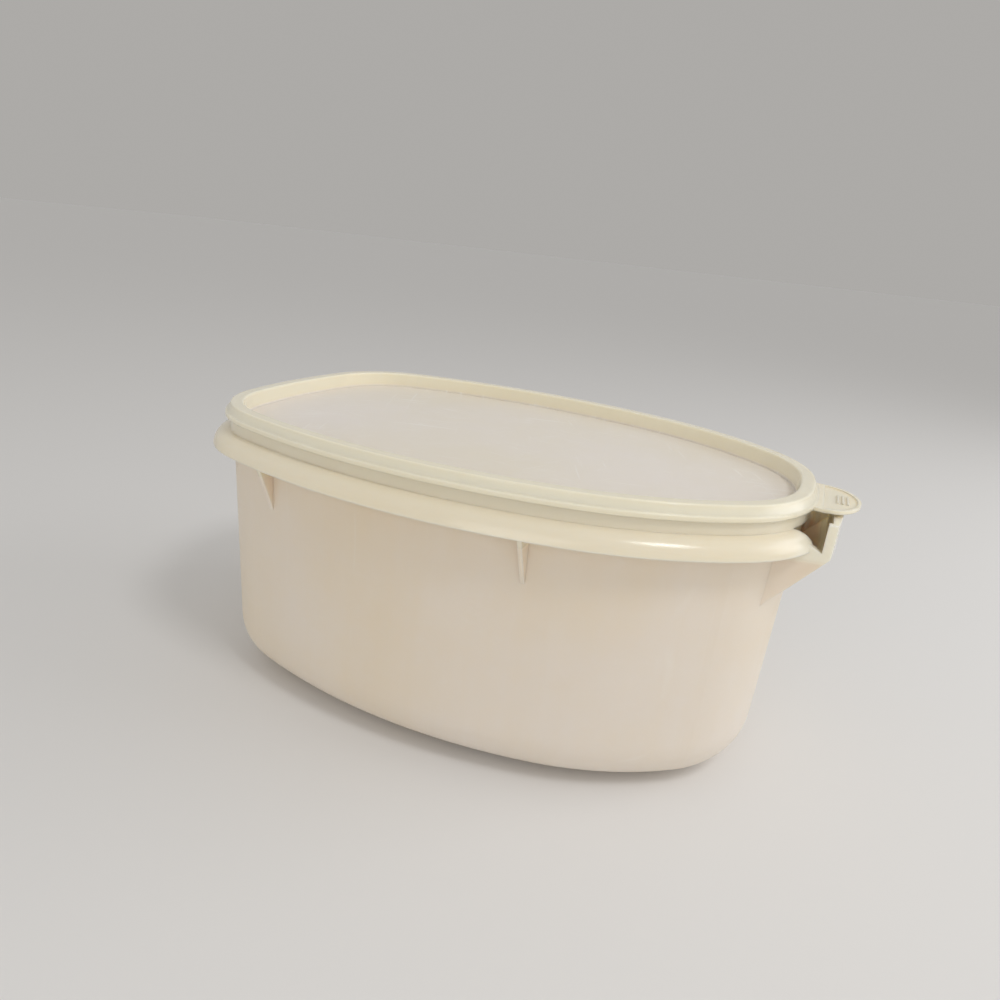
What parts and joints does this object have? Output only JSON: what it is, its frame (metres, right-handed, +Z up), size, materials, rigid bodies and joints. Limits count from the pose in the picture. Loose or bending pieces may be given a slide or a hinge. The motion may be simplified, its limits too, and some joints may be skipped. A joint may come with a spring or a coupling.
{
  "type": "food storage container",
  "caption": "Translucent lidded food tub with an egg-shaped plan, a hanging apron, gussets, two finger grips and a press-on lid with a pull tab.",
  "frame": {"origin": "centre of the overall footprint's bounding box, on the surface the tub stands on", "axes": "+X along the long side towards the lid's pull tab, +Y towards the back, +Z up"},
  "size_m": [0.3104, 0.2018, 0.14],
  "materials": {
    "tub_plastic": "milky translucent, soft gloss",
    "lid_plastic": "milky translucent, soft gloss; frosted sunk panel"
  },
  "bodies": {
    "root": {"tub": "tub_plastic", "lid": "lid_plastic"}
  },
  "joints": []
}
